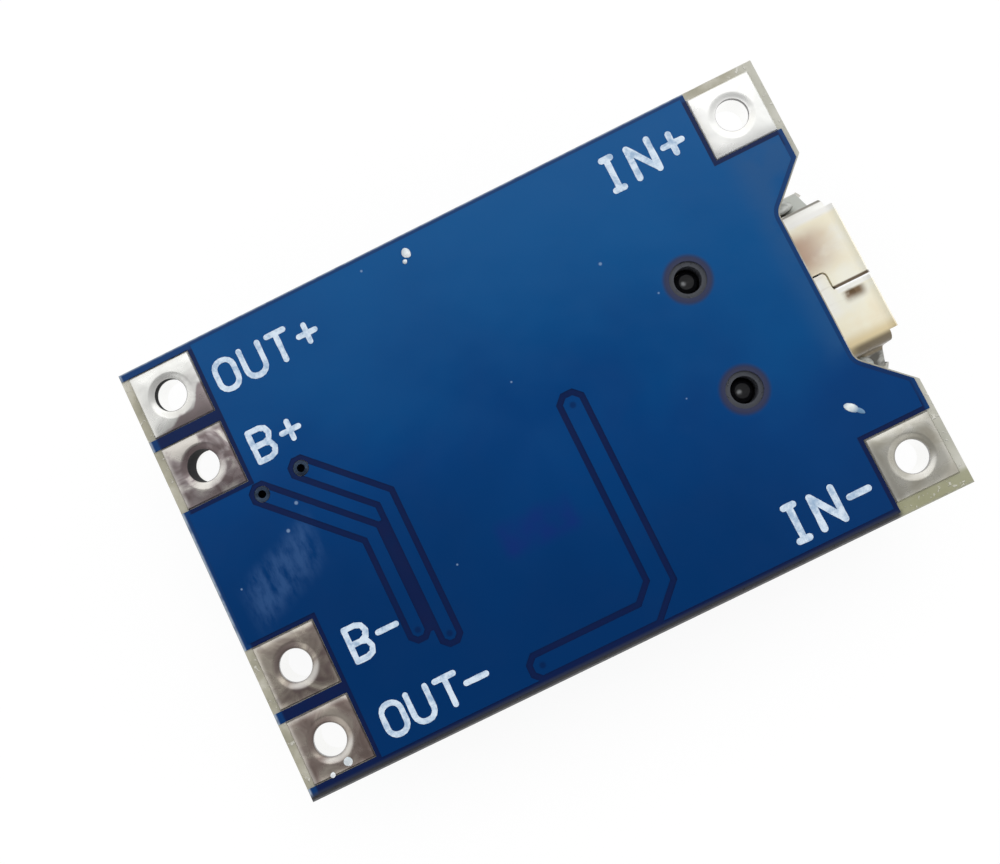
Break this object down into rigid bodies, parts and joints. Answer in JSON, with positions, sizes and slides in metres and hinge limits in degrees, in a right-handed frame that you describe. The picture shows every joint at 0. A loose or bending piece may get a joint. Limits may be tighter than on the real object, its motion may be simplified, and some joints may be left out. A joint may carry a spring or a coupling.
{
  "type": "lithium battery charger module",
  "caption": "Small blue circuit board that charges one lithium cell from a mini USB socket, with plated wire pads for input, output and battery.",
  "frame": {"origin": "middle of the board's outline, on the solder mask of its back", "axes": "+Z out of the back of the board, +X towards the socket, +Y towards the plus terminals"},
  "size_m": [0.0266, 0.0172, 0.0052],
  "materials": {
    "laminate": "glass fibre and epoxy, translucent cut edges",
    "solder_mask": "glossy blue solder mask",
    "tin": "bright hot-dipped tin",
    "solder": "bright solder",
    "shell_sheet": "folded tinned sheet",
    "socket_plastic": "black moulded plastic",
    "contact_metal": "gilt contact strip",
    "chip_epoxy": "black moulded epoxy",
    "lead_metal": "tinned lead frame",
    "resistor_body": "black glazed top on white ceramic",
    "capacitor_body": "brown ceramic",
    "chip_ends": "tinned end bands",
    "indicator_base": "white base",
    "lens_red": "clear resin",
    "lens_blue": "clear resin"
  },
  "bodies": {
    "root": {"laminate": "laminate", "solder_mask_back": "solder_mask", "solder_mask_front": "solder_mask", "vias": "tin", "socket_shell": "shell_sheet", "socket_housing": "socket_plastic", "socket_contacts": "contact_metal", "solder_joints": "solder", "pad_input_plus": "tin", "pad_input_minus": "tin", "pad_output_plus": "tin", "pad_output_minus": "tin", "pad_battery_plus": "tin", "pad_battery_minus": "tin", "charge_controller_body": "chip_epoxy", "charge_controller_leads": "lead_metal", "protection_chip_body": "chip_epoxy", "protection_chip_leads": "lead_metal", "switch_chip_body": "chip_epoxy", "switch_chip_leads": "lead_metal", "resistor_1_body": "resistor_body", "resistor_1_ends": "chip_ends", "resistor_2_body": "resistor_body", "resistor_2_ends": "chip_ends", "resistor_3_body": "resistor_body", "resistor_3_ends": "chip_ends", "resistor_4_body": "resistor_body", "resistor_4_ends": "chip_ends", "resistor_5_body": "resistor_body", "resistor_5_ends": "chip_ends", "resistor_6_body": "resistor_body", "resistor_6_ends": "chip_ends", "capacitor_1_body": "capacitor_body", "capacitor_1_ends": "chip_ends", "capacitor_2_body": "capacitor_body", "capacitor_2_ends": "chip_ends", "capacitor_3_body": "capacitor_body", "capacitor_3_ends": "chip_ends", "indicator_red_base": "indicator_base", "indicator_red_ends": "chip_ends", "indicator_red_lens": "lens_red", "indicator_blue_base": "indicator_base", "indicator_blue_ends": "chip_ends", "indicator_blue_lens": "lens_blue"}
  },
  "joints": []
}
